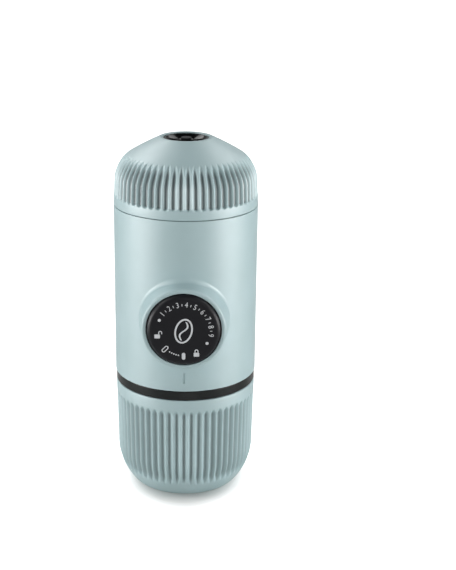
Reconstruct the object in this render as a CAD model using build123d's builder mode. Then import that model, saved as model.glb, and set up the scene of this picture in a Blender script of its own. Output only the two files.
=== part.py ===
"""Handheld manual espresso maker, stacked as it is carried.

From the bottom: cup, portafilter (its flange is the dark band), pump case with the
dial-locked piston, and water tank. Millimetres, +Z up, origin at the middle of the
cup's foot, dial towards -Y. Distances along the pump are measured from the middle
of the case towards the dial, so the back of the case is negative.
"""
import os
from math import cos, hypot, radians, sin, sqrt

from build123d import *

os.makedirs("parts", exist_ok=True)

# ---- outer stack --------------------------------------------------------------
body_radius = 31.0          # case and tank, outside
band_step = 0.3             # portafilter flange inside the body's line
cup_height = 47.8
band_height = 4.1
case_height = 74.6
tank_height = 28.75
seam_gap = 0.25             # open joint between stacked parts

# ---- clearances ---------------------------------------------------------------
fixed_gap = 0.1             # between parts that are fastened together
run_gap = 0.35              # between parts that move past each other
seat_gap = 0.25             # under a part that rests on a seal or a ledge
slide_fit = 0.06            # a seal or shaft running in its bore

# ---- levels, all measured up from the foot of the cup --------------------------
band_low = cup_height + seam_gap
band_top = band_low + band_height
case_low = band_top + seam_gap
case_top = case_low + case_height
tank_low = case_top + seam_gap
tank_top = tank_low + tank_height

# ---- cup ----------------------------------------------------------------------
cup_rim_step = 0.25         # rim inside the body's line
cup_taper = 0.55            # the wall draws in by this down to the round bottom
cup_round_height = 16.6     # where the wall runs into the round bottom
cup_round_radius = 22.8
cup_wall = 1.8
cup_floor = 2.4
foot_edge_radius = 0.8
cup_groove_count = 60
cup_groove_drop = 5.2       # grooves end this far below the rim
cup_groove_end = 6.0        # the straight groove has left the round bottom by here

# ---- ribs ---------------------------------------------------------------------
groove_radius = 1.05
groove_depth = 0.95

# ---- tank ---------------------------------------------------------------------
tank_wall = 2.3
tank_taper = 0.58               # the wall draws in by this up to the shoulder
tank_shoulder_height = 11.0     # the shoulder's start above the tank's lower edge
shoulder_radius = 12.9
shoulder_turn = 58.0            # degrees of arc before the crown starts
crown_radius = 127.0
tank_land = 1.35                # flat land around the bore at the top
vent_bore = 9.85
vent_bore_depth = 3.2
vent_ledge = 2.25               # step at the bore's foot that the insert stands on
vent_boss_wall = 2.2
vent_boss_side = 3.65
vent_drop = 0.5                 # vent insert below the tank's top
vent_rim = 0.8
vent_dish_depth = 2.4
vent_button_radius = 3.0
vent_button_drop = 0.6
vent_spoke_count = 8
vent_spoke_width = 0.9
vent_spoke_drop = 1.0
vent_stem_radius = 1.5
vent_head_radius = 2.2
vent_head_height = 0.7
tank_groove_count = 62
tank_groove_low = 3.9           # lower end above the tank's edge
tank_groove_fade = 15.5         # arc radius of the groove where it runs out over the shoulder
tank_groove_turn = 48.0

# ---- quick threads (three starts) ----------------------------------------------
thread_lead = 20.0              # rise in one turn
thread_starts = 3
thread_sweep = 75.0             # degrees covered by each ridge
thread_overlap = 12.0           # degrees a closed ridge reaches past its peg
thread_height = 0.85
thread_thickness = 1.4
thread_root = 0.4               # how deep a ridge is let into its wall
peg_radius = 0.8

# ---- case ---------------------------------------------------------------------
case_wall = 1.8
ledge_width = 1.3
ledge_height = 1.8
well_wall = 1.3
tank_well_depth = 13.8
brew_well_depth = 9.4
deck_floor = 2.2
brew_floor = 2.2
well_lip = 0.4                  # the wells stop this far inside the case's edges
spigot_wall = 1.4
tank_seal_width = 2.0
tank_seal_thickness = 1.7
collar_clearance = 0.9          # portafilter collar below the brew head

# ---- piston pump ----------------------------------------------------------------
bush_clearance = 2.2            # dial's guide bush above the brew head
piston_stroke = 17.0
knob_stand = 9.0                # dial's front ahead of the case
knob_radius = 15.4
knob_edge_radius = 2.2
cap_thickness = 3.0
sleeve_wall = 1.7
sleeve_web = 2.0
sleeve_grip = 2.5               # sleeve left in its bush when the dial is out
rim_drop = 1.6                  # front of the case's collar behind the dial's front
rim_wall = 2.1
rim_edge_radius = 1.0
rim_lip = 2.0
boss_taper = 6.0                # degrees
boss_root_radius = 2.2
boss_depth = 18.4
bush_wall = 1.05
bush_gap = 4.0                  # bush ahead of the cylinder housing
lug_width = 24.0                # degrees
lug_length = 4.0
lug_gap = 3.5                   # lugs ahead of the cylinder housing
lug_height = 2.6
lug_inset = 2.8                 # lugs inside the sleeve's bore
unlock_turn = 45.0              # degrees
lock_margin = 1.0               # degrees left at each end of the lock's window
lock_ring_reach = 0.3           # lock ring ahead of the lugs
lock_window_wall = 0.65
spring_wire = 0.55
spring_turns = 7
housing_lip = 0.7               # housing ahead of the liner
housing_flange = 2.0
liner_bore = 6.5
liner_wall = 1.5
housing_wall = 2.2
piston_length = 8.0
piston_end_gap = 0.9
piston_seal_width = 3.0
piston_land = 0.3               # piston head below the bore, each side
seal_depth = 1.9
seal_round = 0.4
rod_radius = 4.0
spigot_radius = 3.0
rod_neck = 7.0                  # thin end of the rod, inside the dial's hub
clip_thickness = 0.8
clip_radius = 4.3
clip_groove = 0.6

# ---- water path -----------------------------------------------------------------
column_inset = 6.5              # channel's middle inside the frame's edge
cylinder_inset = 2.8            # cylinder's end wall ahead of the channel's middle
column_radius = 5.0
channel_radius = 1.4
valve_bore = 2.7
ball_radius = 2.0
ball_drop = 1.2                 # opening travel of each valve ball
valve_spring_wire = 0.25
valve_spring_turns = 4
valve_spring_spare = 0.4        # left between the coils when the valve is open
seat_height = 3.0
seat_hole = 1.2
seat_cone = 1.9
seat_fit = 0.04
inlet_shoulder = 12.4           # inlet valve below the top flange
outlet_shoulder = -0.6          # outlet valve's spring, let into the brew head's floor
frame_flange = 2.2
side_column_width = 4.0
side_column_depth = 10.0
side_column_inset = 6.3         # columns' middle inside the frame's edge
frame_front = 11.0              # the lower flange stops here, behind the dial
seal_ring_wire = 0.5
seal_ring_radius = 3.4
strainer_radius = 2.9
strainer_height = 2.4

# ---- screws ---------------------------------------------------------------------
screw_radius = 1.2
screw_hole_gap = 0.05
screw_head_radius = 2.2
screw_head_height = 1.5
deck_screw_length = 7.0
deck_screw_spacing = (32.0, 20.0)
brew_screw_length = 4.0
brew_screw_spacing = (29.0, 8.0)
screen_screw_head = 1.1
screen_boss_radius = 4.0
screen_boss_height = 3.0

# ---- portafilter, basket and scoop ------------------------------------------------
basket_radius = 17.6
basket_wall = 0.5
basket_depth = 18.2
basket_rim = 4.4
basket_flange = 1.0
basket_gap = 0.5
gasket_width = 3.6
gasket_thickness = 1.6
screen_thickness = 0.6
screen_spacer = 0.5
screen_edge_gap = 1.4
screen_hole = 0.55
bowl_wall = 2.2
funnel_drop = 3.0
bowl_floor_gap = 0.7
funnel_bore = 2.0
neck_radius = 8.0
neck_bore = 5.0
neck_length = 7.0
web_thickness = 2.75
skirt_depth = 7.0
skirt_wall = 2.1
cup_ring_wire = 0.9
rib_thickness = 1.6
rib_count = 6
nozzle_flange = 3.0
nozzle_tip_length = 4.8
nozzle_tip_radius = 3.2
nozzle_bore = 1.4
scoop_wall = 1.2
scoop_floor = 1.5
scoop_height = 14.5
scoop_lift = 1.5                # scoop above the basket's floor

# ---- marks ----------------------------------------------------------------------
index_width = 1.1
index_depth = 0.45
index_drop = 21.7               # mark's top below the pump's axis
index_length = 5.8

# ---- derived sizes ----------------------------------------------------------------
band_radius = body_radius - band_step
cup_rim_radius = body_radius - cup_rim_step
cup_low_radius = cup_rim_radius - cup_taper
cup_groove_top = cup_height - cup_groove_drop
tank_shoulder_radius = body_radius - tank_taper
tank_rim_radius = vent_bore + tank_land
vent_hole = vent_bore - vent_ledge
vent_boss_radius = vent_bore + vent_boss_side
case_inner = body_radius - case_wall
well_outer = case_inner - fixed_gap
well_inner = well_outer - well_wall
spigot_outer = well_inner - run_gap - thread_height
spigot_inner = spigot_outer - spigot_wall
peg_height = thread_height
deck_top = case_top - tank_well_depth
deck_low = deck_top - deck_floor
tank_spigot_low = deck_top + 2 * seat_gap + tank_seal_thickness
brew_low = case_low + brew_well_depth
brew_top = brew_low + brew_floor
collar_top = brew_low - collar_clearance
pump_height = brew_top + bush_clearance + knob_radius + run_gap + bush_wall
pump_plane = Plane(origin=(0, 0, pump_height), x_dir=(1, 0, 0), z_dir=(0, -1, 0))
frame_top = deck_low - fixed_gap
frame_low = brew_top + fixed_gap
flange_radius = case_inner - ledge_width - fixed_gap
column_back = flange_radius - column_inset
cylinder_back = cylinder_inset - column_back
side_column_middle = flange_radius - side_column_inset
knob_front = body_radius + knob_stand
rim_front = knob_front - rim_drop
rim_radius = knob_radius + rim_wall
boss_inner_end = rim_front - boss_depth
bush_inner = knob_radius + run_gap
bush_outer = bush_inner + bush_wall
boss_bore = bush_outer + fixed_gap
sleeve_inner = knob_radius - sleeve_wall
sleeve_front = knob_front - cap_thickness
sleeve_length = piston_stroke + sleeve_grip
sleeve_back = sleeve_front - sleeve_length
rod_shoulder = sleeve_front - rod_neck
lug_reach = sleeve_inner - lug_inset
hub_radius = lug_reach - lug_height
liner_outer = liner_bore + liner_wall
liner_back = cylinder_back + fixed_gap
housing_bore = liner_outer + fixed_gap
housing_radius = housing_bore + housing_wall
lock_inner = hub_radius + run_gap
lock_window = lug_reach + run_gap
lock_outer = lock_window + lock_window_wall
spring_radius = (lock_outer + sleeve_inner) / 2
piston_back = cylinder_back + piston_end_gap
piston_front = piston_back + piston_length
piston_radius = liner_bore - piston_land
liner_front = piston_front + piston_stroke + piston_end_gap
housing_front = liner_front + housing_lip
lug_back = housing_front + lug_gap
lock_ring_front = lug_back + lug_length + lock_ring_reach
bush_back = housing_front + bush_gap
basket_flange_radius = basket_radius + basket_rim
seal_outer = liner_bore - slide_fit
clip_back = sleeve_front - sleeve_web + seat_gap
valve_spring_height = 2 * valve_spring_wire * valve_spring_turns + ball_drop + valve_spring_spare
inlet_low = frame_top - inlet_shoulder
outlet_low = brew_top + outlet_shoulder
seat_low = fixed_gap + valve_spring_height + fixed_gap + 2 * ball_radius - 0.8
valve_length = seat_low + seat_height
tower_top = outlet_low + valve_length + fixed_gap
column_low = tower_top + fixed_gap
gasket_high = brew_low - seat_gap
gasket_low = gasket_high - gasket_thickness
flange_high = gasket_low - seat_gap
flange_low = flange_high - basket_flange
bowl_top = flange_low - seat_gap
bowl_inner = basket_radius + basket_gap
bowl_outer = bowl_inner + bowl_wall
basket_low = flange_high - basket_depth
bowl_low = basket_low - bowl_floor_gap
funnel_low = bowl_low - funnel_drop
neck_low = funnel_low - bowl_wall - neck_length
screen_high = brew_low - screen_spacer
screen_radius = basket_flange_radius - gasket_width - screen_edge_gap
skirt_low = band_low - skirt_depth
scoop_low = basket_low + basket_wall + scoop_lift
scoop_radius = basket_radius - basket_wall - run_gap


def cup_wall_radius(height):
    """Outer radius of the cup's straight wall at a height."""
    share = (height - cup_round_height) / (cup_height - cup_round_height)
    return cup_low_radius + share * (cup_rim_radius - cup_low_radius)


def ring_section(inner, outer, low, high):
    """Rectangular half section of a ring about Z, drawn on the XZ plane."""
    with Locations(((inner + outer) / 2, (low + high) / 2)):
        Rectangle(outer - inner, high - low)


def thread_ridge(root_radius, low):
    """One rising thread ridge that stands out from a round wall."""
    depth = thread_height + thread_root
    with BuildPart() as ridge:
        with BuildLine() as path:
            Helix(
                pitch=thread_lead,
                height=thread_lead * thread_sweep / 360,
                radius=root_radius + thread_height / 2,
                center=(0, 0, low + thread_thickness / 2),
            )
        start = path.line @ 0
        with BuildSketch(Plane(origin=start, x_dir=(1, 0, 0), z_dir=path.line % 0)):
            with Locations((-thread_root / 2, 0)):
                Rectangle(depth, thread_thickness)
        sweep(is_frenet=True)
    return ridge.part


def thread_peg(wall_radius, height, turn):
    """One round peg that stands inwards from a well's wall, under or over a ridge."""
    with BuildPart() as peg:
        spot = Plane(
            origin=(
                (wall_radius - peg_height) * cos(radians(turn)),
                (wall_radius - peg_height) * sin(radians(turn)),
                height,
            ),
            z_dir=(cos(radians(turn)), sin(radians(turn)), 0),
        )
        with BuildSketch(spot):
            Circle(peg_radius)
        extrude(amount=peg_height + well_wall / 2)
    return peg.part


def sector(near_radius, far_radius, turn):
    """A slice of a round plate about its X axis, cut straight at its near end."""
    half = radians(turn / 2)
    near_top = (near_radius * cos(half), near_radius * sin(half))
    far_top = (far_radius * cos(half), far_radius * sin(half))
    with BuildSketch() as plate:
        with BuildLine():
            Line(near_top, far_top)
            ThreePointArc(far_top, (far_radius, 0), (far_top[0], -far_top[1]))
            Polyline((far_top[0], -far_top[1]), (near_top[0], -near_top[1]), near_top)
        make_face()
    return plate.sketch


def coil(turns, length, mean_radius, wire):
    """A helical compression spring standing on the XY plane, its wire inside its length."""
    rise = length - 2 * wire
    with BuildPart() as spring:
        with BuildLine() as path:
            Helix(pitch=rise / turns, height=rise, radius=mean_radius, center=(0, 0, wire))
        with BuildSketch(Plane(origin=path.line @ 0, z_dir=path.line % 0)):
            Circle(wire)
        sweep(is_frenet=True)
    return spring.part


# =================================================================================
# Cup: ribbed, round-bottomed, stands under everything and covers the outlet
# =================================================================================
with BuildPart() as cup_groove:
    groove_out = groove_radius - groove_depth
    groove_high = (cup_wall_radius(cup_groove_top) + groove_out, 0, cup_groove_top - groove_radius)
    groove_foot = (cup_wall_radius(cup_groove_end) + groove_out, 0, cup_groove_end)
    with BuildLine() as cup_groove_path:
        Line(groove_high, groove_foot)
    with BuildSketch(Plane(origin=groove_high, z_dir=cup_groove_path.line % 0)):
        Circle(groove_radius)
    sweep()
    with Locations(groove_high):
        Sphere(groove_radius)

with BuildPart() as cup:
    round_middle = (cup_low_radius - cup_round_radius, cup_round_height)
    foot_radius = round_middle[0] + sqrt(cup_round_radius**2 - cup_round_height**2)
    inner_round = cup_round_radius - cup_wall
    inner_foot = round_middle[0] + sqrt(inner_round**2 - (cup_round_height - cup_floor) ** 2)
    mid_turn = radians(24)
    with BuildSketch(Plane.XZ):
        with BuildLine():
            rim = Line((cup_rim_radius - cup_wall, cup_height), (cup_rim_radius, cup_height))
            Line(rim @ 1, (cup_low_radius, cup_round_height))
            outer_round = ThreePointArc(
                (cup_low_radius, cup_round_height),
                (
                    round_middle[0] + cup_round_radius * cos(mid_turn),
                    round_middle[1] - cup_round_radius * sin(mid_turn),
                ),
                (foot_radius, 0),
            )
            Polyline(outer_round @ 1, (0, 0), (0, cup_floor), (inner_foot, cup_floor))
            ThreePointArc(
                (inner_foot, cup_floor),
                (
                    round_middle[0] + inner_round * cos(mid_turn),
                    round_middle[1] - inner_round * sin(mid_turn),
                ),
                (cup_low_radius - cup_wall, cup_round_height),
            )
            Line((cup_low_radius - cup_wall, cup_round_height), rim @ 0)
        make_face()
    revolve(axis=Axis.Z)
    foot_edges = cup.edges().filter_by(GeomType.CIRCLE).group_by(Axis.Z)[0]
    fillet(foot_edges, foot_edge_radius)
    with PolarLocations(0, cup_groove_count):
        add(cup_groove.part, mode=Mode.SUBTRACT)
cup.part.label = "cup"
export_step(cup.part, "parts/cup.step")

# =================================================================================
# Portafilter: flange band, skirt into the cup, threaded collar, bowl and neck
# =================================================================================
skirt_outer = cup_wall_radius(skirt_low) - cup_wall - 2 * run_gap
ring_middle = skirt_outer + run_gap - cup_ring_wire
ring_height = band_low - skirt_depth / 2
lower_peg_height = case_low + well_lip + fixed_gap + peg_radius
lower_ridge_low = lower_peg_height + peg_radius + run_gap - thread_lead * thread_overlap / 360
lower_ridge = thread_ridge(spigot_outer, lower_ridge_low)

with BuildPart() as portafilter:
    with BuildSketch(Plane.XZ):
        ring_section(spigot_inner, band_radius, band_low, band_top)
        ring_section(spigot_inner, spigot_outer, band_top, collar_top)
        ring_section(skirt_outer - skirt_wall, skirt_outer, skirt_low, band_low)
        ring_section(bowl_outer, spigot_inner, band_top - web_thickness, band_top)
        with BuildLine():
            Polyline(
                (bowl_inner, bowl_top),
                (bowl_outer, bowl_top),
                (bowl_outer, bowl_low - bowl_wall / 2),
                (neck_radius, funnel_low - bowl_wall),
                (neck_radius, neck_low),
                (neck_bore + slide_fit, neck_low),
                (neck_bore + slide_fit, funnel_low - bowl_wall),
                (funnel_bore, funnel_low - bowl_wall),
                (funnel_bore, funnel_low),
                (bowl_inner, bowl_low),
                close=True,
            )
        make_face()
    revolve(axis=Axis.Z)
    with BuildSketch(Plane.XY.offset(skirt_low + skirt_wall)):
        with PolarLocations((bowl_outer + skirt_outer - skirt_wall) / 2, rib_count, start_angle=30):
            Rectangle(skirt_outer - skirt_wall - bowl_outer + skirt_wall, rib_thickness)
    extrude(amount=band_top - web_thickness - skirt_low - skirt_wall)
    with BuildSketch(Plane.XZ):
        groove_half = cup_ring_wire + fixed_gap
        groove_low = ring_height - groove_half
        ring_section(ring_middle - groove_half, skirt_outer, groove_low, groove_low + 2 * groove_half)
    revolve(axis=Axis.Z, mode=Mode.SUBTRACT)
    with PolarLocations(0, thread_starts, start_angle=-thread_overlap):
        add(lower_ridge)
    band_edges = portafilter.edges().filter_by(GeomType.CIRCLE)
    fillet([e for e in band_edges if abs(e.radius - band_radius) < 0.01], seam_gap)
portafilter.part.label = "portafilter"
export_step(portafilter.part, "parts/portafilter.step")

with BuildPart() as cup_grip_ring:
    with BuildSketch(Plane.XZ):
        with Locations((ring_middle, ring_height)):
            Circle(cup_ring_wire)
    revolve(axis=Axis.Z)
cup_grip_ring.part.label = "cup_grip_ring"
export_step(cup_grip_ring.part, "parts/cup_grip_ring.step")

with BuildPart() as outlet_nozzle:
    nozzle_top = funnel_low - bowl_wall - seat_gap
    nozzle_mid = neck_low - fixed_gap
    with BuildSketch(Plane.XZ):
        with BuildLine():
            Polyline(
                (nozzle_bore, nozzle_top),
                (neck_bore, nozzle_top),
                (neck_bore, nozzle_mid),
                (neck_radius, nozzle_mid),
                (neck_radius, nozzle_mid - nozzle_flange + 1),
                (neck_radius - 1, nozzle_mid - nozzle_flange),
                (nozzle_tip_radius + 1, nozzle_mid - nozzle_flange),
                (nozzle_tip_radius, nozzle_mid - nozzle_flange - nozzle_tip_length),
                (nozzle_bore, nozzle_mid - nozzle_flange - nozzle_tip_length),
                close=True,
            )
        make_face()
    revolve(axis=Axis.Z)
outlet_nozzle.part.label = "outlet_nozzle"
export_step(outlet_nozzle.part, "parts/outlet_nozzle.step")

# =================================================================================
# Filter basket and the scoop stored in it
# =================================================================================
with BuildPart() as filter_basket:
    basket_inner = basket_radius - basket_wall
    with BuildSketch(Plane.XZ):
        ring_section(basket_inner, basket_flange_radius, flange_low, flange_high)
        ring_section(basket_inner, basket_radius, basket_low, flange_low)
        ring_section(0, basket_inner, basket_low, basket_low + basket_wall)
    revolve(axis=Axis.Z)
    with BuildSketch(Plane.XY.offset(basket_low)):
        for ring_radius, hole_count in ((3.5, 6), (7, 12), (10.5, 18), (14, 24)):
            with PolarLocations(ring_radius, hole_count):
                Circle(screen_hole)
    extrude(amount=basket_wall, mode=Mode.SUBTRACT)
filter_basket.part.label = "filter_basket"
export_step(filter_basket.part, "parts/filter_basket.step")

with BuildPart() as coffee_scoop:
    with BuildSketch(Plane.XZ):
        ring_section(scoop_radius - scoop_wall, scoop_radius, scoop_low, scoop_low + scoop_height)
        ring_section(0, scoop_radius - scoop_wall, scoop_low, scoop_low + scoop_floor)
    revolve(axis=Axis.Z)
    fillet(coffee_scoop.edges().group_by(Axis.Z)[0], scoop_wall / 2)
coffee_scoop.part.label = "coffee_scoop"
export_step(coffee_scoop.part, "parts/coffee_scoop.step")

with BuildPart() as brew_gasket:
    with BuildSketch(Plane.XZ):
        ring_section(basket_flange_radius - gasket_width, basket_flange_radius, gasket_low, gasket_high)
    revolve(axis=Axis.Z)
brew_gasket.part.label = "brew_gasket"
export_step(brew_gasket.part, "parts/brew_gasket.step")

# =================================================================================
# Main case: painted shell with the dial's collar
# =================================================================================
with BuildPart() as main_case:
    with BuildSketch(Plane.XZ):
        ring_section(case_inner, body_radius, case_low, case_top)
    revolve(axis=Axis.Z)
    with BuildSketch(pump_plane.offset(rim_front)):
        Circle(rim_radius)
    extrude(amount=boss_inner_end - rim_front, taper=-boss_taper)
    boss_flank = main_case.faces().filter_by(GeomType.CONE).sort_by(Axis.Y)[0]
    root_edges = [e for e in boss_flank.edges() if e.geom_type != GeomType.CIRCLE]
    root_edges = [e for e in root_edges if hypot((e @ 0.5).X, (e @ 0.5).Y) > body_radius - 0.1]
    fillet(root_edges, boss_root_radius)
    with BuildSketch(pump_plane.offset(rim_front - rim_lip)):
        Circle(boss_bore)
    extrude(amount=-rim_front, mode=Mode.SUBTRACT)
    with BuildSketch(pump_plane.offset(rim_front)):
        Circle(bush_inner)
    extrude(amount=-rim_front, mode=Mode.SUBTRACT)
    front_edges = main_case.edges().filter_by(GeomType.CIRCLE).group_by(Axis.Y)[0]
    fillet(front_edges.sort_by(SortBy.LENGTH)[-1], rim_edge_radius)
    with BuildSketch(Plane.XY.offset(case_low)):
        Circle(case_inner)
    extrude(amount=frame_low - case_low, mode=Mode.SUBTRACT)
    with BuildSketch(Plane.XZ):
        ring_section(case_inner - ledge_width, case_inner, frame_top - ledge_height, frame_top)
    revolve(axis=Axis.Z)
    mark_radius = index_width / 2
    with BuildSketch(Plane.XY.offset(pump_height - index_drop - index_length + mark_radius)):
        with Locations((0, -body_radius - mark_radius + index_depth)):
            Circle(mark_radius)
    extrude(amount=index_length - index_width, mode=Mode.SUBTRACT)
main_case.part.label = "main_case"
export_step(main_case.part, "parts/main_case.step")

# =================================================================================
# Tank deck: the well in the top of the case that the tank screws into
# =================================================================================
upper_peg_height = (tank_spigot_low + tank_low) / 2 + peg_radius
upper_ridge_start = thread_overlap - thread_sweep
rise_to_peg = thread_lead * (thread_sweep - thread_overlap) / 360
upper_ridge_low = upper_peg_height - peg_radius - run_gap - thread_thickness - rise_to_peg
upper_ridge = thread_ridge(spigot_outer, upper_ridge_low)
deck_peg = thread_peg(well_inner, upper_peg_height, 0)
brew_peg = thread_peg(well_inner, lower_peg_height, 0)

with BuildPart() as tank_deck:
    with BuildSketch(Plane.XZ):
        ring_section(0, well_outer, deck_low, deck_top)
        ring_section(well_inner, well_outer, deck_top, case_top - well_lip)
    revolve(axis=Axis.Z)
    with BuildSketch(Plane.XY.offset(deck_low)):
        with Locations((0, column_back)):
            Circle(channel_radius)
        with GridLocations(*deck_screw_spacing, 2, 2):
            Circle(screw_radius + screw_hole_gap)
    extrude(amount=deck_floor, mode=Mode.SUBTRACT)
    with PolarLocations(0, thread_starts):
        add(deck_peg)
tank_deck.part.label = "tank_deck"
export_step(tank_deck.part, "parts/tank_deck.step")

with BuildPart() as inlet_strainer:
    strainer_wall = 0.8
    with BuildSketch(Plane.XY.offset(deck_top)):
        with Locations((0, column_back)):
            Circle(strainer_radius)
    extrude(amount=strainer_height)
    with BuildSketch(Plane.XY.offset(deck_top)):
        with Locations((0, column_back)):
            Circle(strainer_radius - strainer_wall)
    extrude(amount=strainer_height - strainer_wall, mode=Mode.SUBTRACT)
    with BuildSketch(Plane.XY.offset(deck_top)):
        with Locations((0, column_back)):
            with PolarLocations(strainer_radius - strainer_wall / 2, 6):
                Rectangle(4 * strainer_wall, strainer_wall)
    extrude(amount=strainer_height / 2, mode=Mode.SUBTRACT)
inlet_strainer.part.label = "inlet_strainer"
export_step(inlet_strainer.part, "parts/inlet_strainer.step")

with BuildPart() as deck_screws:
    with BuildSketch(Plane.XY.offset(deck_top)):
        with GridLocations(*deck_screw_spacing, 2, 2):
            Circle(screw_head_radius)
    extrude(amount=screw_head_height)
    with BuildSketch(Plane.XY.offset(deck_top)):
        with GridLocations(*deck_screw_spacing, 2, 2):
            Circle(screw_radius)
    extrude(amount=-deck_screw_length)
    fillet(deck_screws.edges().group_by(Axis.Z)[-1], screw_head_height / 3)
    with BuildSketch(Plane.XY.offset(deck_top + screw_head_height)):
        with GridLocations(*deck_screw_spacing, 2, 2):
            RegularPolygon(screw_head_radius / 2, 6)
    extrude(amount=-screw_head_height / 2, mode=Mode.SUBTRACT)
deck_screws.part.label = "deck_screws"
export_step(deck_screws.part, "parts/deck_screws.step")

# =================================================================================
# Brew head: the well under the case that the portafilter screws into
# =================================================================================
with BuildPart() as brew_head:
    with BuildSketch(Plane.XZ):
        ring_section(0, well_outer, brew_low, brew_top)
        ring_section(well_inner, well_outer, case_low + well_lip, brew_low)
        ring_section(0, screen_boss_radius, screen_high, brew_top + screen_boss_height)
    revolve(axis=Axis.Z)
    with BuildSketch(Plane.XY.offset(brew_top)):
        with Locations((0, column_back)):
            Circle(column_radius)
    extrude(amount=tower_top - brew_top)
    with BuildSketch(Plane.XY.offset(outlet_low)):
        with Locations((0, column_back)):
            Circle(valve_bore)
    extrude(amount=valve_length + fixed_gap, mode=Mode.SUBTRACT)
    with BuildSketch(Plane.XY.offset(tower_top)):
        with Locations((0, column_back)):
            Circle(seal_ring_radius + seal_ring_wire + fixed_gap)
            Circle(seal_ring_radius - seal_ring_wire - fixed_gap, mode=Mode.SUBTRACT)
    extrude(amount=-2 * seal_ring_wire, mode=Mode.SUBTRACT)
    slant_end = (0, screen_radius - channel_radius - 1, brew_low - 1)
    slant_start = (0, column_back, outlet_low + 1)
    with BuildSketch(Plane(origin=slant_start, z_dir=Vector(*slant_end) - Vector(*slant_start))):
        Circle(channel_radius - 0.3)
    extrude(amount=(Vector(*slant_end) - Vector(*slant_start)).length, mode=Mode.SUBTRACT)
    with BuildSketch(Plane.XY.offset(screen_high)):
        Circle(screw_radius + screw_hole_gap)
    extrude(amount=screen_spacer + brew_floor + screen_boss_height - 1, mode=Mode.SUBTRACT)
    with Locations(Plane(origin=(0, 0, brew_low), z_dir=(0, 0, -1))):
        with GridLocations(*brew_screw_spacing, 2, 2):
            CounterSinkHole(screw_radius + screw_hole_gap, screw_head_radius + screw_hole_gap, brew_floor)
    with PolarLocations(0, thread_starts):
        add(brew_peg)
brew_head.part.label = "brew_head"
export_step(brew_head.part, "parts/brew_head.step")

with BuildPart() as countersunk_screw:
    with BuildSketch(Plane.XZ):
        with BuildLine():
            head_run = screw_head_radius - screw_radius
            Polyline(
                (0, brew_low + 2 * screw_hole_gap),
                (screw_head_radius - 2 * screw_hole_gap, brew_low + 2 * screw_hole_gap),
                (screw_radius, brew_low + head_run),
                (screw_radius, brew_low + brew_screw_length),
                (0, brew_low + brew_screw_length),
                close=True,
            )
        make_face()
    revolve(axis=Axis.Z)

with BuildPart() as brew_head_screws:
    with GridLocations(*brew_screw_spacing, 2, 2):
        add(countersunk_screw.part)
brew_head_screws.part.label = "brew_head_screws"
export_step(brew_head_screws.part, "parts/brew_head_screws.step")

with BuildPart() as shower_screen:
    with BuildSketch(Plane.XY.offset(screen_high - screen_thickness)):
        Circle(screen_radius)
        Circle(screw_radius + screw_hole_gap, mode=Mode.SUBTRACT)
        for ring_radius, hole_count in ((5, 8), (8, 14), (11, 20), (14, 26)):
            with PolarLocations(ring_radius * screen_radius / 17, hole_count):
                Circle(screen_hole, mode=Mode.SUBTRACT)
    extrude(amount=screen_thickness)
shower_screen.part.label = "shower_screen"
export_step(shower_screen.part, "parts/shower_screen.step")

with BuildPart() as screen_screw:
    head_top = screen_high - screen_thickness
    with BuildSketch(Plane.XY.offset(head_top)):
        Circle(screw_head_radius)
    extrude(amount=-screen_screw_head)
    with BuildSketch(Plane.XY.offset(head_top)):
        Circle(screw_radius)
    extrude(amount=screen_thickness + screen_spacer + brew_floor + screen_boss_height - 1.5)
    with BuildSketch(Plane.XY.offset(head_top - screen_screw_head)):
        RegularPolygon(screw_head_radius / 2, 6)
    extrude(amount=screen_screw_head / 2, mode=Mode.SUBTRACT)
screen_screw.part.label = "screen_screw"
export_step(screen_screw.part, "parts/screen_screw.step")

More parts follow.
